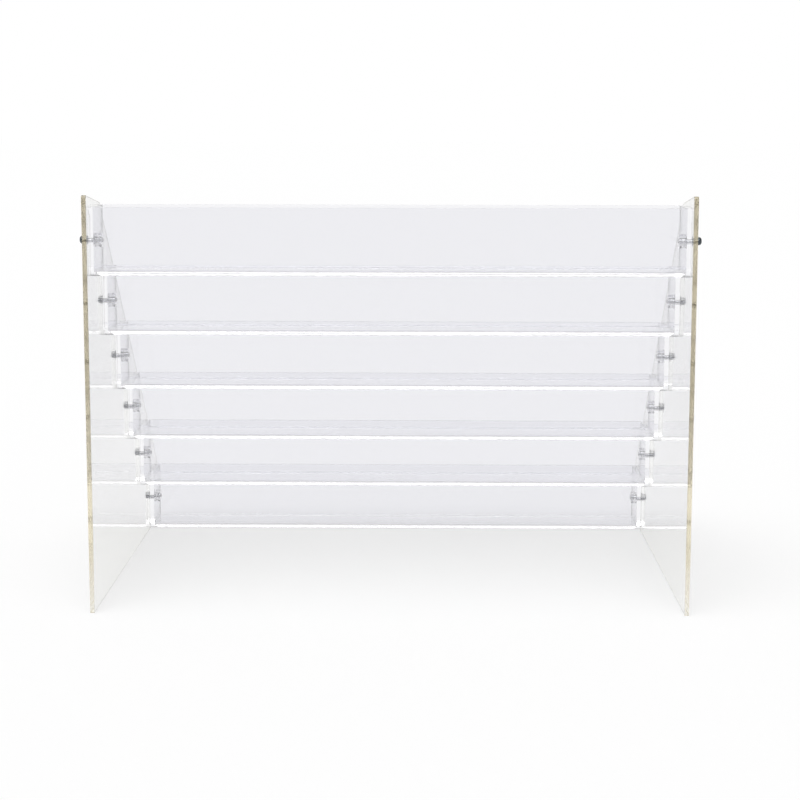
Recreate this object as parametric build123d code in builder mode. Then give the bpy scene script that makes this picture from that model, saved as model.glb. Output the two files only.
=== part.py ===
"""A free-standing six-tier rack of open trays, in clear acrylic sheet.

Two side panels carry six open trays in stair steps. At each end of a tray one thumbscrew
passes through the tray's end wall and the panel into a cap nut on the outside.

Sizes are in millimetres. +X runs along the trays, +Z is up, and -Y is the tall back of
the rack, where the top tray is. The origin is on the table, under the middle of the rack.
"""

import os
from math import hypot

from build123d import *

# ------------------------------------------------------------------ the rack as a whole
tier_count = 6
rack_width = 390.0  # over the outer faces of the side panels
table_gap = 0.5  # the lowest tray's underside above the table

# ------------------------------------------------------------------ trays
tray_depth = 44.0
tray_height = 44.0
tray_wall = 3.0  # long walls and floor, bent from one sheet
tray_end = 3.0  # end walls
bend_inside_radius = 1.5
tray_edge_round = 0.4  # flame-polished rims
tray_side_clearance = 0.1  # between an end wall and its panel
tier_gap = 6.8  # clear depth between a tray and the next one down
tier_lap = 0.2  # a rim stands this much above the floor face of the tray over it

# ------------------------------------------------------------------ side panels
panel_thickness = 3.0
back_margin = 5.5  # from the panel's back edge to the top tray
front_margin = 5.5  # from the lowest tray to the panel's front edge
slope_margin = 4.0  # from the trays' front rims to the sloping edge
crest_rise = 8.0  # the panel's back corner above the top tray's rim
crest_fall = 7.0  # from the back corner to where the sloping edge starts
foot_corner_radius = 1.0
panel_corner_radius = 2.0  # at the back's top corner
slope_corner_radius = 12.0  # at the two ends of the sloping edge
panel_edge_round = 0.3

# ------------------------------------------------------------------ thumbscrews and cap nuts
stud_diameter = 3.0
stud_tip_chamfer = 0.4
hole_clearance = 0.08  # radial, in the panels and the tray ends
thread_clearance = 0.05  # radial, in the knobs and the nuts
knob_diameter = 9.4
knob_thickness = 3.3
knob_edge_round = 0.5
knob_clearance = 0.1  # between a knob and the tray's end wall
knob_socket_depth = 2.2  # how far the stud enters the knob
nut_across_flats = 5.5
nut_hex_height = 3.2
nut_dome_diameter = 5.2
nut_height = 6.0
nut_edge_chamfer = 0.25
nut_bore_depth = 4.2
nut_engagement = 3.6  # how far the stud enters the nut

# ------------------------------------------------------------------ worked out from these
step_depth = tray_depth + tier_gap
step_height = tray_height - tier_lap
panel_depth = back_margin + (tier_count - 1) * step_depth + tray_depth + front_margin
panel_back = -panel_depth / 2
panel_front = panel_depth / 2
top_rim_height = table_gap + (tier_count - 1) * step_height + tray_height
panel_height = top_rim_height + crest_rise
panel_inner_face = rack_width / 2 - panel_thickness
tray_length = 2 * (panel_inner_face - tray_side_clearance)
knob_seat = tray_length / 2 - tray_end - knob_clearance  # |x| of a knob's outward face
nut_seat = rack_width / 2  # |x| of a nut's inward face
hole_radius = stud_diameter / 2 + hole_clearance
socket_radius = stud_diameter / 2 + thread_clearance
bend_outside_radius = bend_inside_radius + tray_wall


def tray_back(tier):
    """Y of a tray's back face. Tier 1 is the top one, at the back of the rack."""
    return panel_back + back_margin + (tier - 1) * step_depth


def tray_base(tier):
    """Z of a tray's underside."""
    return table_gap + (tier_count - tier) * step_height


def screw_axis(tier):
    """Y and Z of the screws of a tier, through the middle of the tray's end walls."""
    return tray_back(tier) + tray_depth / 2, tray_base(tier) + tray_height / 2


def across_screw(tier, x, facing):
    """A plane square to a tier's screw axis at x. It faces +X where facing is 1, and -X where it is -1."""
    y, z = screw_axis(tier)
    return Plane(origin=(x, y, z), x_dir=(0, 1, 0), z_dir=(facing, 0, 0))


def finish(part, name):
    """Label a finished piece and write its STEP file."""
    part.label = name
    export_step(part, f"parts/{name}.step")


# ------------------------------------------------------------------ side panels
def slope_height(y):
    """Z of the sloping edge at a depth y. It runs parallel to the trays' front rims, slope_margin outside."""
    rim_y = tray_back(1) + tray_depth
    lift = slope_margin * hypot(step_depth, step_height) / step_depth
    return top_rim_height + lift - (y - rim_y) * step_height / step_depth


def slope_depth(z):
    """Y of the sloping edge at a height z."""
    rim_y = tray_back(1) + tray_depth
    return rim_y + (slope_height(rim_y) - z) * step_depth / step_height


def make_panel(name, lowest_x):
    """A flat sheet: a tall back edge, a crest over the top tray, and an edge that slopes down past the trays."""
    crest_z = panel_height - crest_fall
    outline = [
        ((panel_back, 0), foot_corner_radius),
        ((panel_back, panel_height), panel_corner_radius),
        ((slope_depth(crest_z), crest_z), slope_corner_radius),
        ((panel_front, slope_height(panel_front)), slope_corner_radius),
        ((panel_front, 0), foot_corner_radius),
    ]
    with BuildPart() as panel:
        with BuildSketch(Plane.YZ.offset(lowest_x)):
            with BuildLine():
                FilletPolyline([point for point, _ in outline], radius=[r for _, r in outline], close=True)
            make_face()
        extrude(amount=panel_thickness)
        fillet(panel.faces().filter_by(Axis.X).edges(), radius=panel_edge_round)
        with BuildSketch(Plane.YZ.offset(lowest_x)):
            with Locations([screw_axis(tier) for tier in range(1, tier_count + 1)]):
                Circle(hole_radius)
        extrude(amount=panel_thickness, mode=Mode.SUBTRACT)
    finish(panel.part, name)


# ------------------------------------------------------------------ trays
def make_tray(name, tier):
    """An open trough, U-shaped in section with rounded bends, closed by an end wall at each end."""
    back_y = tray_back(tier)
    base_z = tray_base(tier)
    with BuildPart() as tray:
        with BuildSketch(Plane.YZ.offset(-tray_length / 2)) as outside:
            with Locations((back_y, base_z)):
                Rectangle(tray_depth, tray_height, align=(Align.MIN, Align.MIN))
            fillet(outside.vertices().group_by(Axis.Y)[0], radius=bend_outside_radius)
        extrude(amount=tray_length)
        with BuildSketch(Plane.YZ.offset(-tray_length / 2 + tray_end)) as inside:
            with Locations((back_y + tray_wall, base_z + tray_wall)):
                Rectangle(tray_depth - 2 * tray_wall, tray_height - tray_wall, align=(Align.MIN, Align.MIN))
            fillet(inside.vertices().group_by(Axis.Y)[0], radius=bend_inside_radius)
        extrude(amount=tray_length - 2 * tray_end, mode=Mode.SUBTRACT)
        ends = tray.faces().filter_by(Axis.X).group_by(Axis.X)
        end_edges = ends[0].edges() + ends[-1].edges()
        rim_edges = tray.edges().group_by(Axis.Z)[-1]
        fillet(rim_edges + end_edges.filter_by(lambda edge: edge not in rim_edges), radius=tray_edge_round)
        with Locations(across_screw(tier, 0, 1)):
            Hole(hole_radius)
    finish(tray.part, name)


# ------------------------------------------------------------------ thumbscrews and cap nuts
def make_knob(name, outward, tier):
    """A clear disc inside the tray's end, with a blind socket for the stud in its outward face."""
    with BuildPart() as knob:
        with BuildSketch(across_screw(tier, outward * knob_seat, -outward)):
            Circle(knob_diameter / 2)
        extrude(amount=knob_thickness)
        fillet(knob.edges(), radius=knob_edge_round)
        with Locations(across_screw(tier, outward * knob_seat, outward)):
            Hole(socket_radius, depth=knob_socket_depth)
    finish(knob.part, name)


def make_stud(name, outward, tier):
    """The stud, from the knob's socket through tray and panel into the nut. Its thread is left plain."""
    inner_end = knob_seat - knob_socket_depth
    outer_end = nut_seat + nut_engagement
    with BuildPart() as stud:
        with BuildSketch(across_screw(tier, outward * inner_end, outward)):
            Circle(stud_diameter / 2)
        extrude(amount=outer_end - inner_end)
        chamfer(stud.edges(), length=stud_tip_chamfer)
    finish(stud.part, name)


def make_cap_nut(name, outward, tier):
    """A domed hexagon nut with a blind bore, its flat face on the panel."""
    dome_radius = nut_dome_diameter / 2
    with BuildPart() as nut:
        with BuildSketch(across_screw(tier, outward * nut_seat, outward)):
            RegularPolygon(nut_across_flats / 2, side_count=6, major_radius=False)
        extrude(amount=nut_hex_height)
        chamfer(nut.faces().filter_by(Axis.X).edges(), length=nut_edge_chamfer)
        with BuildSketch(across_screw(tier, outward * nut_seat, outward)):
            Circle(dome_radius)
        extrude(amount=nut_height)
        tip = nut.faces().sort_by(Axis.X)[-1 if outward > 0 else 0]
        fillet(tip.edges(), radius=nut_height - nut_hex_height - nut_edge_chamfer)
        with Locations(across_screw(tier, outward * nut_seat, -outward)):
            Hole(socket_radius, depth=nut_bore_depth)
    finish(nut.part, name)


# ------------------------------------------------------------------ every piece
os.makedirs("parts", exist_ok=True)

make_panel("side_panel_left", -rack_width / 2)
make_panel("side_panel_right", panel_inner_face)
for tier in range(1, tier_count + 1):
    make_tray(f"tray_{tier}", tier)
    for side, outward in (("left", -1), ("right", 1)):
        make_knob(f"thumb_knob_{side}_{tier}", outward, tier)
        make_stud(f"stud_{side}_{tier}", outward, tier)
        make_cap_nut(f"cap_nut_{side}_{tier}", outward, tier)

print(f"rack {rack_width:.1f} wide, {panel_depth:.1f} deep, {panel_height:.1f} high")
print(f"trays {tray_length:.1f} long, in steps of {step_depth:.1f} by {step_height:.1f}")
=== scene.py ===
# %% [markdown]
# # A six-tier rack of open trays, in clear acrylic
#
# The real thing is cut from cast acrylic sheet. Two side panels stand on their bottom edges, and six
# open trays are bolted between them like stairs. Nearly everything is see-through, so the object is
# told by its edges: tan cut edges, white rims, thin grey lines where light is bent away, and small
# metal screws. This script loads the rack as a fixed frame, gives every piece its finish, and models
# what the frame leaves plain.

from math import cos, pi, radians, sin

import bpy
import numpy as np
from mathutils import Matrix, Vector


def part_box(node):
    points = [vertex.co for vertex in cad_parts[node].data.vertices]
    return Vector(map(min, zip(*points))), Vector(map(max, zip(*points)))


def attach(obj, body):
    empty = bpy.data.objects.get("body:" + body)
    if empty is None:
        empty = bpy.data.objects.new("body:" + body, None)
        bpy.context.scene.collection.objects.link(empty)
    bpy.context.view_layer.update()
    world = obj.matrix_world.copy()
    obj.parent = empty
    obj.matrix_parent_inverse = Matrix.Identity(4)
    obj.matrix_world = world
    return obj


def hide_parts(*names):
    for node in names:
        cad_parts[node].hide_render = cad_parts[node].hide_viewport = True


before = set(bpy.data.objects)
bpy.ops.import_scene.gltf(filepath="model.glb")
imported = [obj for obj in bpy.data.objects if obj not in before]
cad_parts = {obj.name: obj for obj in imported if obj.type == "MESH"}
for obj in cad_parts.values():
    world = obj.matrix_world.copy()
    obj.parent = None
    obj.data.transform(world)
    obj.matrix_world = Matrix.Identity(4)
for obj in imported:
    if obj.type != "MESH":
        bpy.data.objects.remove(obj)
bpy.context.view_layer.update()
mm = 0.001

# %% [markdown]
# ## The camera
#
# The photographer stood behind the rack's tall back, a little above its top edge, with a long lens.
# The place and the lens are the answer of a fit: the corners of the panels, the tray lines and the
# screws were measured in the photograph, and a pinhole camera was solved that puts them all within a
# pixel. Turning a camera by three angles is easy to get wrong, so its three axes are worked out as
# vectors and written straight into a matrix.

# %% Camera
lens = 87.12
sensor_width = 36.0
camera_place = Vector((21.6, -1380.3, 323.3)) * mm
look_down = 0.1474
look_left = 0.0120
camera_roll = 0.0017

forward = Vector((-sin(look_left) * cos(look_down), cos(look_left) * cos(look_down), -sin(look_down)))
level_right = Vector((cos(look_left), sin(look_left), 0))
level_up = level_right.cross(forward)
right = cos(camera_roll) * level_right + sin(camera_roll) * level_up
up = cos(camera_roll) * level_up - sin(camera_roll) * level_right

camera_data = bpy.data.cameras.new("photo_camera")
camera_data.lens = lens
camera_data.sensor_width = sensor_width
camera_data.clip_start = 0.05
camera = bpy.data.objects.new("photo_camera", camera_data)
bpy.context.scene.collection.objects.link(camera)
axes = Matrix((right, up, -forward)).transposed().to_4x4()
camera.matrix_world = Matrix.Translation(camera_place) @ axes
bpy.context.scene.camera = camera
print("camera looks along", [round(part, 3) for part in forward])

# %% [markdown]
# ## Light paths
#
# A ray that crosses this rack may pass six trays, each with four walls of two faces. Clear sheet only
# stays clear if a ray is followed through all of them, and light that runs along inside a sheet is
# reflected many times before it leaves by the cut edge. So the bounce limits are raised.

# %% Light paths
most_faces = 64
cycles = bpy.context.scene.cycles
cycles.max_bounces = most_faces
cycles.transmission_bounces = most_faces
cycles.glossy_bounces = most_faces
cycles.transparent_max_bounces = most_faces
print("rays are followed through", most_faces, "faces")

# %% [markdown]
# ## Node helpers
#
# Each finish below is a small tree of nodes. Wired by hand in the editor, such a tree is hard to
# repeat. So each kind of node gets a short helper that makes it, sets it and hands back its output,
# and a finish then reads like a formula.


# %% Node helpers
def new_material(name):
    """An empty node material. Gives the material, its node tree and its Principled shader."""
    material = bpy.data.materials.new(name)
    material.use_nodes = True
    tree = material.node_tree
    tree.nodes.clear()
    output = tree.nodes.new("ShaderNodeOutputMaterial")
    shader = tree.nodes.new("ShaderNodeBsdfPrincipled")
    tree.links.new(shader.outputs["BSDF"], output.inputs["Surface"])
    return material, tree, shader


def output_of(tree):
    """The tree's output node."""
    return next(node for node in tree.nodes if node.type == "OUTPUT_MATERIAL")


def put(tree, socket, value):
    """Give a socket a value, or link it where the value is another node's output."""
    if isinstance(value, bpy.types.NodeSocket):
        tree.links.new(value, socket)
    else:
        socket.default_value = value


def maths(tree, operation, first, second=0.0, third=0.0):
    """One Math node. Gives its output."""
    node = tree.nodes.new("ShaderNodeMath")
    node.operation = operation
    for socket, value in zip(node.inputs, (first, second, third)):
        put(tree, socket, value)
    return node.outputs[0]


def band(tree, value, low, high, at_low=0.0, at_high=1.0):
    """A value carried smoothly from at_low to at_high, while the input goes from low to high."""
    node = tree.nodes.new("ShaderNodeMapRange")
    node.interpolation_type = "SMOOTHSTEP"
    names = ("Value", "From Min", "From Max", "To Min", "To Max")
    for name, number in zip(names, (value, low, high, at_low, at_high)):
        put(tree, node.inputs[name], number)
    return node.outputs["Result"]


def blend_colours(tree, share, first, second):
    """The first colour where share is 0 and the second where it is 1."""
    node = tree.nodes.new("ShaderNodeMix")
    node.data_type = "RGBA"
    put(tree, node.inputs["Factor"], share)
    put(tree, node.inputs["A"], first)
    put(tree, node.inputs["B"], second)
    return node.outputs["Result"]


def noise(tree, vector, scale, detail=2.0, roughness=0.5):
    """Cloudy noise from 0 to 1, in the object's own metres times scale."""
    node = tree.nodes.new("ShaderNodeTexNoise")
    put(tree, node.inputs["Vector"], vector)
    node.inputs["Scale"].default_value = scale
    node.inputs["Detail"].default_value = detail
    node.inputs["Roughness"].default_value = roughness
    return node.outputs["Fac"]


def coordinates(tree):
    """The outputs of a Texture Coordinate node. Object is the place and Normal is where a surface faces."""
    return tree.nodes.new("ShaderNodeTexCoord").outputs


def split(tree, vector):
    """The X, Y and Z outputs of a vector."""
    node = tree.nodes.new("ShaderNodeSeparateXYZ")
    tree.links.new(vector, node.inputs[0])
    return node.outputs


def stretched(tree, vector, across_x, across_y, across_z):
    """The place with each axis scaled, so that noise turns into streaks."""
    node = tree.nodes.new("ShaderNodeMapping")
    tree.links.new(vector, node.inputs["Vector"])
    node.inputs["Scale"].default_value = (across_x, across_y, across_z)
    return node.outputs["Vector"]


def bump(tree, height, depth):
    """Turn a height into a normal. The depth is in metres."""
    node = tree.nodes.new("ShaderNodeBump")
    node.inputs["Strength"].default_value = 1.0
    node.inputs["Distance"].default_value = depth
    put(tree, node.inputs["Height"], height)
    return node.outputs["Normal"]


def written(red, green, blue):
    """A colour as it is read on a screen, from 0 to 255, turned into the light that Blender works with."""
    share = np.array([red, green, blue]) / 255
    linear = np.where(share <= 0.04045, share / 12.92, ((share + 0.055) / 1.055) ** 2.4)
    return (*linear.tolist(), 1.0)


print("a screen grey of 188 is", round(written(188, 188, 188)[0], 3), "as light")

# %% [markdown]
# ## Panel acrylic
#
# Cast acrylic is clear through its thickness, but a look into a cut edge goes through the whole
# depth of the sheet, where the faint tan of the plastic adds up. That depth of colour is given twice.
# Absorption inside the sheet tints long paths, and the cut edges themselves have a satin, tan skin,
# as a saw and a scraper leave it. The edge is found from the surface's own direction: the two big
# faces look along X, and everything that doesn't is cut. From 80 mm up, edges and faces alike are
# painted darker towards the top: that is painted shade, not a colour of the sheet.


# %% Panel acrylic
acrylic_ior = 1.491
# the heights over which painted shade darkens the panel towards the top
painted_shade_from = 80 * mm
painted_shade_full = 160 * mm
tan_density = 2.6
edge_satin = 0.12
saw_depth = 0.001 * mm


def panel_acrylic():
    """Clear sheet with polished faces and tan satin edges. The edge's share is 0 where the surface
    looks along X, and 1 where it looks across. Edges and faces both carry painted shade that darkens
    them towards the top."""
    material, tree, shader = new_material("panel_acrylic")
    seen = coordinates(tree)
    place = seen["Object"]
    across = maths(tree, "ABSOLUTE", split(tree, seen["Normal"])["X"])
    edge = band(tree, across, 0.35, 0.85, 1.0, 0.0)
    saw_lines = noise(tree, stretched(tree, place, 1.0, 60.0, 60.0), 40.0, 3.0)
    wipe_marks = noise(tree, place, 55.0, 4.0, 0.6)
    # painted shade: edges and faces are painted darker from 80 mm up to 160 mm
    painted_top_shade = band(tree, split(tree, place)["Z"], painted_shade_from, painted_shade_full)
    edge_tan_with_painted_shade = blend_colours(tree, painted_top_shade, written(250, 246, 232), written(206, 199, 178))
    face_clear_with_painted_shade = blend_colours(tree, painted_top_shade, written(248, 248, 246), written(238, 238, 237))
    put(tree, shader.inputs["Base Color"], blend_colours(tree, edge, face_clear_with_painted_shade, edge_tan_with_painted_shade))
    face_roughness = maths(tree, "MULTIPLY", wipe_marks, 0.02)
    edge_roughness = maths(tree, "MULTIPLY_ADD", saw_lines, 0.03, edge_satin)
    roughness = maths(tree, "ADD", face_roughness, maths(tree, "MULTIPLY", edge, edge_roughness))
    put(tree, shader.inputs["Roughness"], roughness)
    put(tree, shader.inputs["Transmission Weight"], maths(tree, "MULTIPLY_ADD", edge, -0.08, 1.0))
    saw_height = maths(tree, "MULTIPLY", saw_lines, edge)
    put(tree, shader.inputs["Normal"], bump(tree, saw_height, saw_depth))
    shader.inputs["IOR"].default_value = acrylic_ior
    absorption = tree.nodes.new("ShaderNodeVolumeAbsorption")
    absorption.inputs["Color"].default_value = written(238, 230, 205)
    absorption.inputs["Density"].default_value = tan_density
    tree.links.new(absorption.outputs["Volume"], output_of(tree).inputs["Volume"])
    return material


critical_angle = np.degrees(np.arcsin(1 / acrylic_ior))
print("inside the sheet, a ray flatter than", round(90 - critical_angle, 1), "degrees to a face stays in")

# %% [markdown]
# ## Tray acrylic
#
# The trays are thinner to look through and their edges are flame-polished, so they stay white rather
# than tan. A cloth leaves faint marks on such sheet. They hardly show in its colour, but they soften
# its gloss here and there.

# %% Tray acrylic
tray_clear = written(246, 246, 248)
wipe_haze = 0.03


def tray_acrylic():
    """Clear sheet with the faintest cool tint. Its roughness is a cloud of noise times the haze."""
    material, tree, shader = new_material("tray_acrylic")
    wipe_marks = noise(tree, coordinates(tree)["Object"], 70.0, 4.0, 0.6)
    shader.inputs["Base Color"].default_value = tray_clear
    put(tree, shader.inputs["Roughness"], maths(tree, "MULTIPLY", wipe_marks, wipe_haze))
    shader.inputs["Transmission Weight"].default_value = 1.0
    shader.inputs["IOR"].default_value = acrylic_ior
    return material


print("the trays' roughness stays under", wipe_haze)

# %% [markdown]
# ## Knob acrylic
#
# The thumb knobs are moulded, not cut. Moulded plastic is as clear as the sheet but never quite
# even inside, so its gloss varies a little from place to place.


# %% Knob acrylic
flow_scale = 400.0


def knob_acrylic():
    """Clear plastic whose gloss follows faint flow marks."""
    material, tree, shader = new_material("knob_acrylic")
    flow = noise(tree, coordinates(tree)["Object"], flow_scale, 2.0)
    tint = blend_colours(tree, flow, written(246, 246, 247), written(250, 250, 250))
    put(tree, shader.inputs["Base Color"], tint)
    put(tree, shader.inputs["Roughness"], maths(tree, "MULTIPLY", flow, 0.06))
    shader.inputs["Transmission Weight"].default_value = 1.0
    shader.inputs["IOR"].default_value = acrylic_ior
    return material


print("flow marks are about", round(1 / flow_scale / mm, 1), "mm apart")

# %% [markdown]
# ## Stud steel
#
# The studs are zinc-plated: a pale, slightly cloudy metal. Their thread is real shape here, so the
# finish needs no lines of its own, only the cloud and a soft gloss.


# %% Stud steel
steel_dark = written(238, 239, 241)
steel_light = written(250, 250, 251)


def stud_steel():
    """Pale zinc plate. One cloud of noise varies both its colour and its gloss."""
    material, tree, shader = new_material("stud_steel")
    cloud = noise(tree, coordinates(tree)["Object"], 900.0, 3.0)
    put(tree, shader.inputs["Base Color"], blend_colours(tree, cloud, steel_dark, steel_light))
    put(tree, shader.inputs["Roughness"], maths(tree, "MULTIPLY_ADD", cloud, 0.2, 0.22))
    shader.inputs["Metallic"].default_value = 1.0
    return material


print("zinc plate throws back", round(steel_dark[0], 2), "to", round(steel_light[0], 2), "of the light")

# %% [markdown]
# ## Cap nut steel
#
# The nuts look nearly black against the white room. They are shiny, with a sharp glint, and their
# near-black colour is painted reflection: it gives them the dark look of mirrored dark surroundings.


# %% Cap nut steel
# near-black metal colours that paint in dim reflections: painted reflection
painted_dark_metal = written(66, 70, 74)
painted_dark_metal_paler = written(88, 93, 97)


def cap_nut_steel():
    """Shiny metal whose near-black colour is painted reflection. One cloud of noise varies both its colour
    and its gloss.
    """
    material, tree, shader = new_material("cap_nut_steel")
    cloud = noise(tree, coordinates(tree)["Object"], 500.0, 3.0)
    put(tree, shader.inputs["Base Color"], blend_colours(tree, cloud, painted_dark_metal, painted_dark_metal_paler))
    put(tree, shader.inputs["Roughness"], maths(tree, "MULTIPLY_ADD", cloud, 0.12, 0.12))
    shader.inputs["Metallic"].default_value = 1.0
    return material


# the dark colour printed here is painted reflection, not a plate's own colour
print("nickel plate throws back", round(painted_dark_metal[0], 2), "to", round(painted_dark_metal_paler[0], 2), "of the light")

# %% [markdown]
# ## A finish for every piece
#
# A node's name begins with its kind, so the finish is looked up by that. Both panels share one
# finish, as they are cut from one sheet, and so do the trays.

# %% Give each node its finish
finishes = {
    "side_panel": panel_acrylic(),
    "tray": tray_acrylic(),
    "thumb_knob": knob_acrylic(),
    "stud": stud_steel(),
    "cap_nut": cap_nut_steel(),
}
for node_name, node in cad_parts.items():
    kind = next(kind for kind in finishes if node_name.startswith(kind))
    node.data.materials.clear()
    node.data.materials.append(finishes[kind])
print("finished", len(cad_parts), "nodes")

# %% [markdown]
# ## Turned pieces
#
# Knobs, nuts and studs are all turned or rolled about one line, the screw's axis. So each is worked
# out as a stack of rings: a distance along the axis and a radius, which may itself change with the
# angle. The helper below lays such a stack along X at a screw's place, closes it with a pole at each
# end, and turns its faces outwards.

# %% Turned pieces
steps_around = 48
turn = np.linspace(0, 2 * pi, steps_around, endpoint=False)[None, :]


def rings_to_mesh(name, along, radius, place, outward):
    """A closed mesh from rings. Ring i lies at place.x + outward * along[i], and its point at the angle t
    is radius[i] * (cos t, sin t) from the axis. Each end closes on a pole in the middle of its last ring."""
    along = np.asarray(along, float).reshape(-1, 1)
    radius = np.broadcast_to(radius, (len(along), steps_around))
    x = place[0] + outward * np.broadcast_to(along, radius.shape)
    points = np.stack([x, place[1] + radius * np.cos(turn), place[2] + radius * np.sin(turn)], axis=-1)
    rings = len(along)
    poles = [[x[0, 0], place[1], place[2]], [x[-1, 0], place[1], place[2]]]
    vertices = np.concatenate([points.reshape(-1, 3), poles])
    ring, step = np.meshgrid(np.arange(rings - 1), np.arange(steps_around), indexing="ij")
    here = ring * steps_around + step
    beside = ring * steps_around + (step + 1) % steps_around
    walls = np.stack([here, beside, beside + steps_around, here + steps_around], axis=-1).reshape(-1, 4)
    first = np.arange(steps_around)
    second = (first + 1) % steps_around
    last_ring = (rings - 1) * steps_around
    start_pole = np.full(steps_around, rings * steps_around)
    end_pole = start_pole + 1
    start_cap = np.stack([start_pole, second, first], axis=-1)
    end_cap = np.stack([end_pole, last_ring + first, last_ring + second], axis=-1)
    mesh = bpy.data.meshes.new(name)
    mesh.from_pydata(vertices.tolist(), [], walls.tolist() + start_cap.tolist() + end_cap.tolist())
    return mesh


def six_volumes(mesh):
    """Six times the volume inside a closed mesh. It is negative where the faces point inwards."""
    mesh.calc_loop_triangles()
    corners = np.empty(len(mesh.loop_triangles) * 3, np.int32)
    mesh.loop_triangles.foreach_get("vertices", corners)
    places = np.empty(len(mesh.vertices) * 3)
    mesh.vertices.foreach_get("co", places)
    triangles = places.reshape(-1, 3)[corners.reshape(-1, 3)]
    return np.einsum("ij,ij->i", triangles[:, 0], np.cross(triangles[:, 1], triangles[:, 2])).sum()


def make_piece(name, mesh, material, sharp_angle):
    """Turn a mesh outwards, shade it smooth up to an angle, and link it as an object at the origin."""
    if six_volumes(mesh) < 0:
        mesh.flip_normals()
    mesh.polygons.foreach_set("use_smooth", np.ones(len(mesh.polygons), bool))
    mesh.set_sharp_from_angle(angle=radians(sharp_angle))
    mesh.materials.append(material)
    piece = bpy.data.objects.new(name, mesh)
    bpy.context.scene.collection.objects.link(piece)
    return piece


def arc(centre, radius, start, end, steps=8):
    """Points (along, out) at the centre + radius * (cos a, sin a), with a in degrees from the axis."""
    angle = np.radians(np.linspace(start, end, steps))
    return np.stack([centre[0] + radius * np.cos(angle), centre[1] + radius * np.sin(angle)], axis=-1)


tiers = range(1, 7)
sides = {"left": -1, "right": 1}


def screws(kind):
    """For each screw: its side and tier, the way it points along X, and the box of its node of a kind."""
    for tier in tiers:
        for side, outward in sides.items():
            low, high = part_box(f"{kind}_{side}_{tier}")
            yield side, tier, outward, low, high


print("there are", len(tiers) * len(sides), "screws, and each ring has", steps_around, "steps")

# %% [markdown]
# ## Threaded studs
#
# Each thumbscrew's stud is M3 rod with a rolled thread. The radius follows a triangle wave of the
# station minus the angle's share of the pitch, which is what winds it into a helix. Both ends fade
# to a chamfer, as a rolled stud has.

# %% Threaded studs
thread_pitch = 0.5 * mm
thread_depth = 0.3 * mm
end_chamfer = 0.4 * mm
steps_per_pitch = 8


def thread_radius(x, x_start, x_end, crest_radius):
    """The crest's radius minus the thread's depth times a triangle wave of (x / pitch - angle / turn).
    Near an end it is limited by a 45 degree cone."""
    wave = np.abs(((x / thread_pitch - turn / (2 * pi)) % 1) * 2 - 1)
    from_end = np.minimum(x - x_start, x_end - x)
    return np.minimum(crest_radius - thread_depth * wave, crest_radius - end_chamfer + from_end)


for side, tier, outward, low, high in screws("stud"):
    middle = (low + high) / 2
    stations = int(round((high.x - low.x) / thread_pitch * steps_per_pitch)) + 1
    x = np.linspace(low.x, high.x, stations)[:, None]
    radius = thread_radius(x, low.x, high.x, (high.z - low.z) / 2)
    mesh = rings_to_mesh(f"thread_{side}_{tier}", x, radius, (0, middle.y, middle.z), 1)
    thread = make_piece(f"thread_{side}_{tier}", mesh, finishes["stud"], 60)
    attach(thread, f"thumbscrew_{side}_{tier}")
    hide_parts(f"stud_{side}_{tier}")
print("a thread has", len(thread.data.polygons), "faces")

# %% [markdown]
# ## Thumb knobs
#
# The knob is a small moulded button of clear plastic. Its face into the tray is domed, so it
# bends light like a lens, and that is all one sees of it: a dark and a bright line along its rim, and
# a white glint. The stud sits in a blind socket in its back.

# %% Thumb knobs
socket_radius = 1.55 * mm
socket_depth = 2.2 * mm
rim_round = 0.5 * mm
rim_height = 2.1 * mm
dome_round = 0.45 * mm


def knob_profile(radius, thickness):
    """Points (along, out) from the socket's bottom, round its mouth and the rim, to the top of the dome.
    The dome is an arc of radius (half width squared + rise squared) / (2 * rise)."""
    shoulder = radius - dome_round
    rise = thickness - rim_height - dome_round
    dome_radius = (shoulder**2 + rise**2) / (2 * rise)
    dome_start = np.degrees(np.arcsin(shoulder / dome_radius))
    pieces = [
        [[socket_depth, socket_radius], [0, socket_radius]],
        arc((rim_round, radius - rim_round), rim_round, 180, 90),
        arc((rim_height, shoulder), dome_round, 90, dome_start),
        arc((thickness - dome_radius, 0), dome_radius, dome_start, 3, 16),
    ]
    return np.concatenate(pieces)


for side, tier, outward, low, high in screws("thumb_knob"):
    middle = (low + high) / 2
    seat = high.x if outward > 0 else low.x
    along, radii = np.split(knob_profile((high.z - low.z) / 2, high.x - low.x), 2, axis=1)
    mesh = rings_to_mesh(f"button_{side}_{tier}", along, radii, (seat, middle.y, middle.z), -outward)
    button = make_piece(f"button_{side}_{tier}", mesh, finishes["thumb_knob"], 40)
    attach(button, f"thumbscrew_{side}_{tier}")
    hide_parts(f"thumb_knob_{side}_{tier}")
print("a knob has", len(button.data.polygons), "faces")
print("its dome rises", round((high.x - low.x - rim_height) / mm, 2), "mm")

# %% [markdown]
# ## Cap nuts
#
# A cap nut is a hexagon that a lathe has touched at both ends. The radius at a station and an angle is
# the smallest of three: the hexagon's own, the cone of the upper chamfer and the cone of the lower
# one. That leaves the curved corners of a real nut. A dome closes its outer end.

# %% Cap nuts
nut_flats = 5.5 * mm
hex_height = 3.2 * mm
chamfer_slope = 1 / np.tan(radians(30))
chamfer_circle = 2.56 * mm
neck_inset = 0.05 * mm
dome_radius = 2.6 * mm
dome_corner = 1.7 * mm
bore_radius = 1.55 * mm
bore_depth = 4.2 * mm


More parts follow.
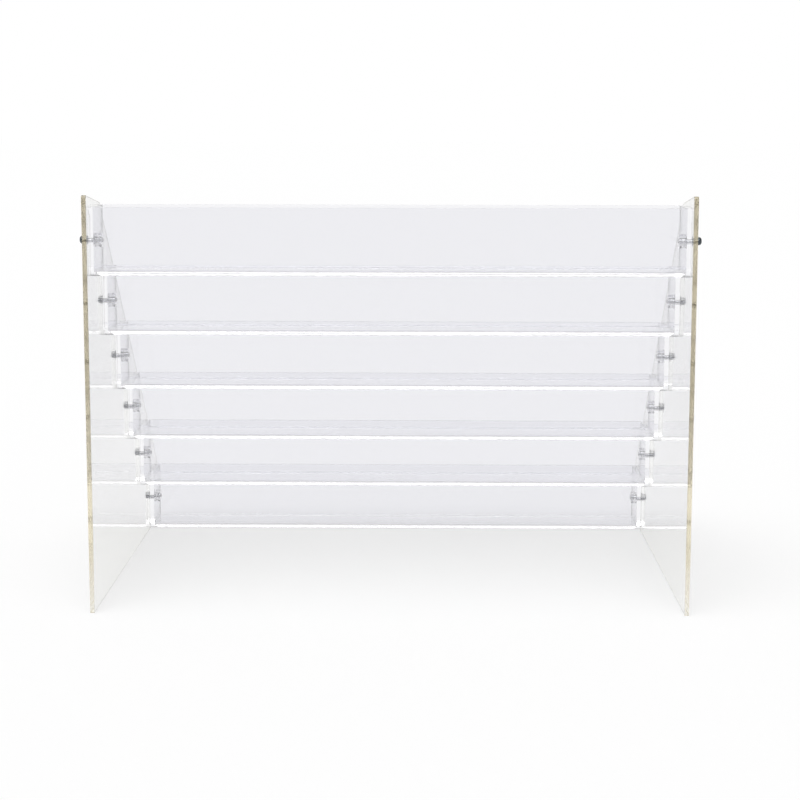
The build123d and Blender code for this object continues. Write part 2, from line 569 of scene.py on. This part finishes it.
def cap_nut_rings(height):
    """Distances along the axis, and radii over the angle, from the bore's bottom to the tip of the dome.
    The hexagon's radius is half its flats over the cosine of the angle from the nearest flat."""
    hexagon = nut_flats / 2 / np.cos((turn + pi / 6) % (pi / 3) - pi / 6)
    station = np.linspace(0, 1, 25)[:, None]
    along_hex = hex_height * (0.5 - 0.5 * np.cos(pi * station))
    lower_cone = chamfer_circle + along_hex * chamfer_slope
    upper_cone = chamfer_circle + (hex_height - along_hex) * chamfer_slope
    body = np.minimum(hexagon, np.minimum(lower_cone, upper_cone))
    neck = np.array([[hex_height, dome_radius - neck_inset]])
    corner = arc((height - dome_corner, dome_radius - dome_corner), dome_corner, 90, 0, 14)
    bore = np.array([[bore_depth, bore_radius], [0, bore_radius]])
    round_part = np.concatenate([neck, corner])
    along = np.concatenate([bore[:, 0], along_hex[:, 0], round_part[:, 0]])
    radii = [np.broadcast_to(part[:, 1:], (len(part), steps_around)) for part in (bore, round_part)]
    return along, np.concatenate([radii[0], body, radii[1]])


for side, tier, outward, low, high in screws("cap_nut"):
    middle = (low + high) / 2
    seat = low.x if outward > 0 else high.x
    along, radii = cap_nut_rings(high.x - low.x)
    mesh = rings_to_mesh(f"acorn_{side}_{tier}", along, radii, (seat, middle.y, middle.z), outward)
    acorn = make_piece(f"acorn_{side}_{tier}", mesh, finishes["cap_nut"], 30)
    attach(acorn, "root")
    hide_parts(f"cap_nut_{side}_{tier}")
print("a cap nut has", len(acorn.data.polygons), "faces")
print("its box in mm is", [round(edge / mm, 2) for edge in high - low])

# %% [markdown]
# ## Floor
#
# The rack stands on white paper that runs on to the horizon. The paper is a little brighter to the
# eye than its share of light would make it, as an over-exposed white is. The rack's soft shadow
# stays on it.

# %% Floor
half_floor = 20.0
glow_share = 0.7

floor_mesh = bpy.data.meshes.new("floor")
corners = [(-half_floor, -half_floor, 0), (half_floor, -half_floor, 0)]
corners += [(half_floor, half_floor, 0), (-half_floor, half_floor, 0)]
floor_mesh.from_pydata(corners, [], [(0, 1, 2, 3)])
floor = bpy.data.objects.new("floor", floor_mesh)
bpy.context.scene.collection.objects.link(floor)


def floor_paper():
    """White paper. Where a camera, a mirror or clear plastic looks at it, plain white is mixed in, so
    that it reads as white with a faint shadow."""
    material, tree, shader = new_material("floor_paper")
    shader.inputs["Base Color"].default_value = (0.95, 0.95, 0.95, 1.0)
    shader.inputs["Roughness"].default_value = 0.9
    shader.inputs["Specular IOR Level"].default_value = 0.0
    white = tree.nodes.new("ShaderNodeEmission")
    white.inputs["Color"].default_value = (1, 1, 1, 1)
    white.inputs["Strength"].default_value = 1.0
    path = tree.nodes.new("ShaderNodeLightPath")
    seen = maths(tree, "MAXIMUM", path.outputs["Is Camera Ray"], path.outputs["Is Glossy Ray"])
    seen = maths(tree, "MAXIMUM", seen, path.outputs["Is Transmission Ray"])
    mixed = tree.nodes.new("ShaderNodeMixShader")
    put(tree, mixed.inputs[0], maths(tree, "MULTIPLY", seen, glow_share))
    tree.links.new(shader.outputs["BSDF"], mixed.inputs[1])
    tree.links.new(white.outputs["Emission"], mixed.inputs[2])
    tree.links.new(mixed.outputs["Shader"], output_of(tree).inputs["Surface"])
    return material


floor_mesh.materials.append(floor_paper())
print("floor", 2 * half_floor, "m wide, with white mixed in by", glow_share)

# %% [markdown]
# ## The room
#
# A clear object shows only what it bends and mirrors. In an all-white room it would vanish. So the
# room is white at eye level and dim overhead: rays that a rim throws upwards come back grey, and
# that draws the thin grey lines by which one sees the plastic.

# %% World
bright_below = 0.2
dim_above = 0.75
overhead = 0.15

world = bpy.data.worlds.new("white_room")
bpy.context.scene.world = world
world.use_nodes = True
sky = world.node_tree
sky.nodes.clear()
sky_output = sky.nodes.new("ShaderNodeOutputWorld")
sky_light = sky.nodes.new("ShaderNodeBackground")
sky.links.new(sky_light.outputs[0], sky_output.inputs["Surface"])
upwards = split(sky, coordinates(sky)["Generated"])["Z"]
room = band(sky, upwards, bright_below, dim_above, 1.0, overhead)
sky_path = sky.nodes.new("ShaderNodeLightPath")
brightness = maths(sky, "MAXIMUM", room, sky_path.outputs["Is Camera Ray"])
put(sky, sky_light.inputs["Strength"], brightness)
sky_light.inputs["Color"].default_value = (1, 1, 1, 1)
print("overhead the room is", overhead, "as bright as at eye level")

# %% [markdown]
# ## The lamp
#
# One very wide, even light stands high behind the camera. Its width keeps shadows soft, and its
# strength brings white paper up to white.

# %% Lamp
lamp_width = radians(60)
lamp_strength = 2.4
toward_lamp = Vector((-0.15, -0.45, 1.0))

lamp_data = bpy.data.lights.new("softbox", "SUN")
lamp_data.angle = lamp_width
lamp_data.energy = lamp_strength
lamp = bpy.data.objects.new("softbox", lamp_data)
lamp.rotation_euler = toward_lamp.to_track_quat("Z", "Y").to_euler()
lamp.visible_camera = False
bpy.context.scene.collection.objects.link(lamp)

bpy.context.scene.view_settings.view_transform = "Standard"
print("the light comes from", [round(part, 2) for part in toward_lamp.normalized()])
